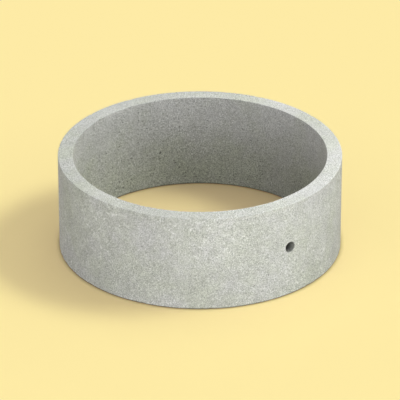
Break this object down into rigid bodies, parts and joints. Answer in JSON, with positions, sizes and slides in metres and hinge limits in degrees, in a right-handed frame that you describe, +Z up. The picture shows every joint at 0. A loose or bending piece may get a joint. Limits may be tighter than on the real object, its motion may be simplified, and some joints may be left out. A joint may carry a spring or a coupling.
{
  "type": "concrete culvert ring",
  "caption": "Upright precast concrete ring with plain flat ends and one round lifting hole through its wall, stacked to line a culvert, well or manhole shaft.",
  "frame": {"origin": "centre of the lower bed face, on the ring's axis, on the floor that it stands on", "axes": "+Z up along the ring's axis, towards the upper bed face; -Y out through the lifting hole"},
  "size_m": [1.68, 1.6799, 0.59],
  "materials": {
    "concrete": "matte, as it leaves a steel mould, light grey with fine pores"
  },
  "bodies": {
    "root": {"ring": "concrete"}
  },
  "joints": []
}
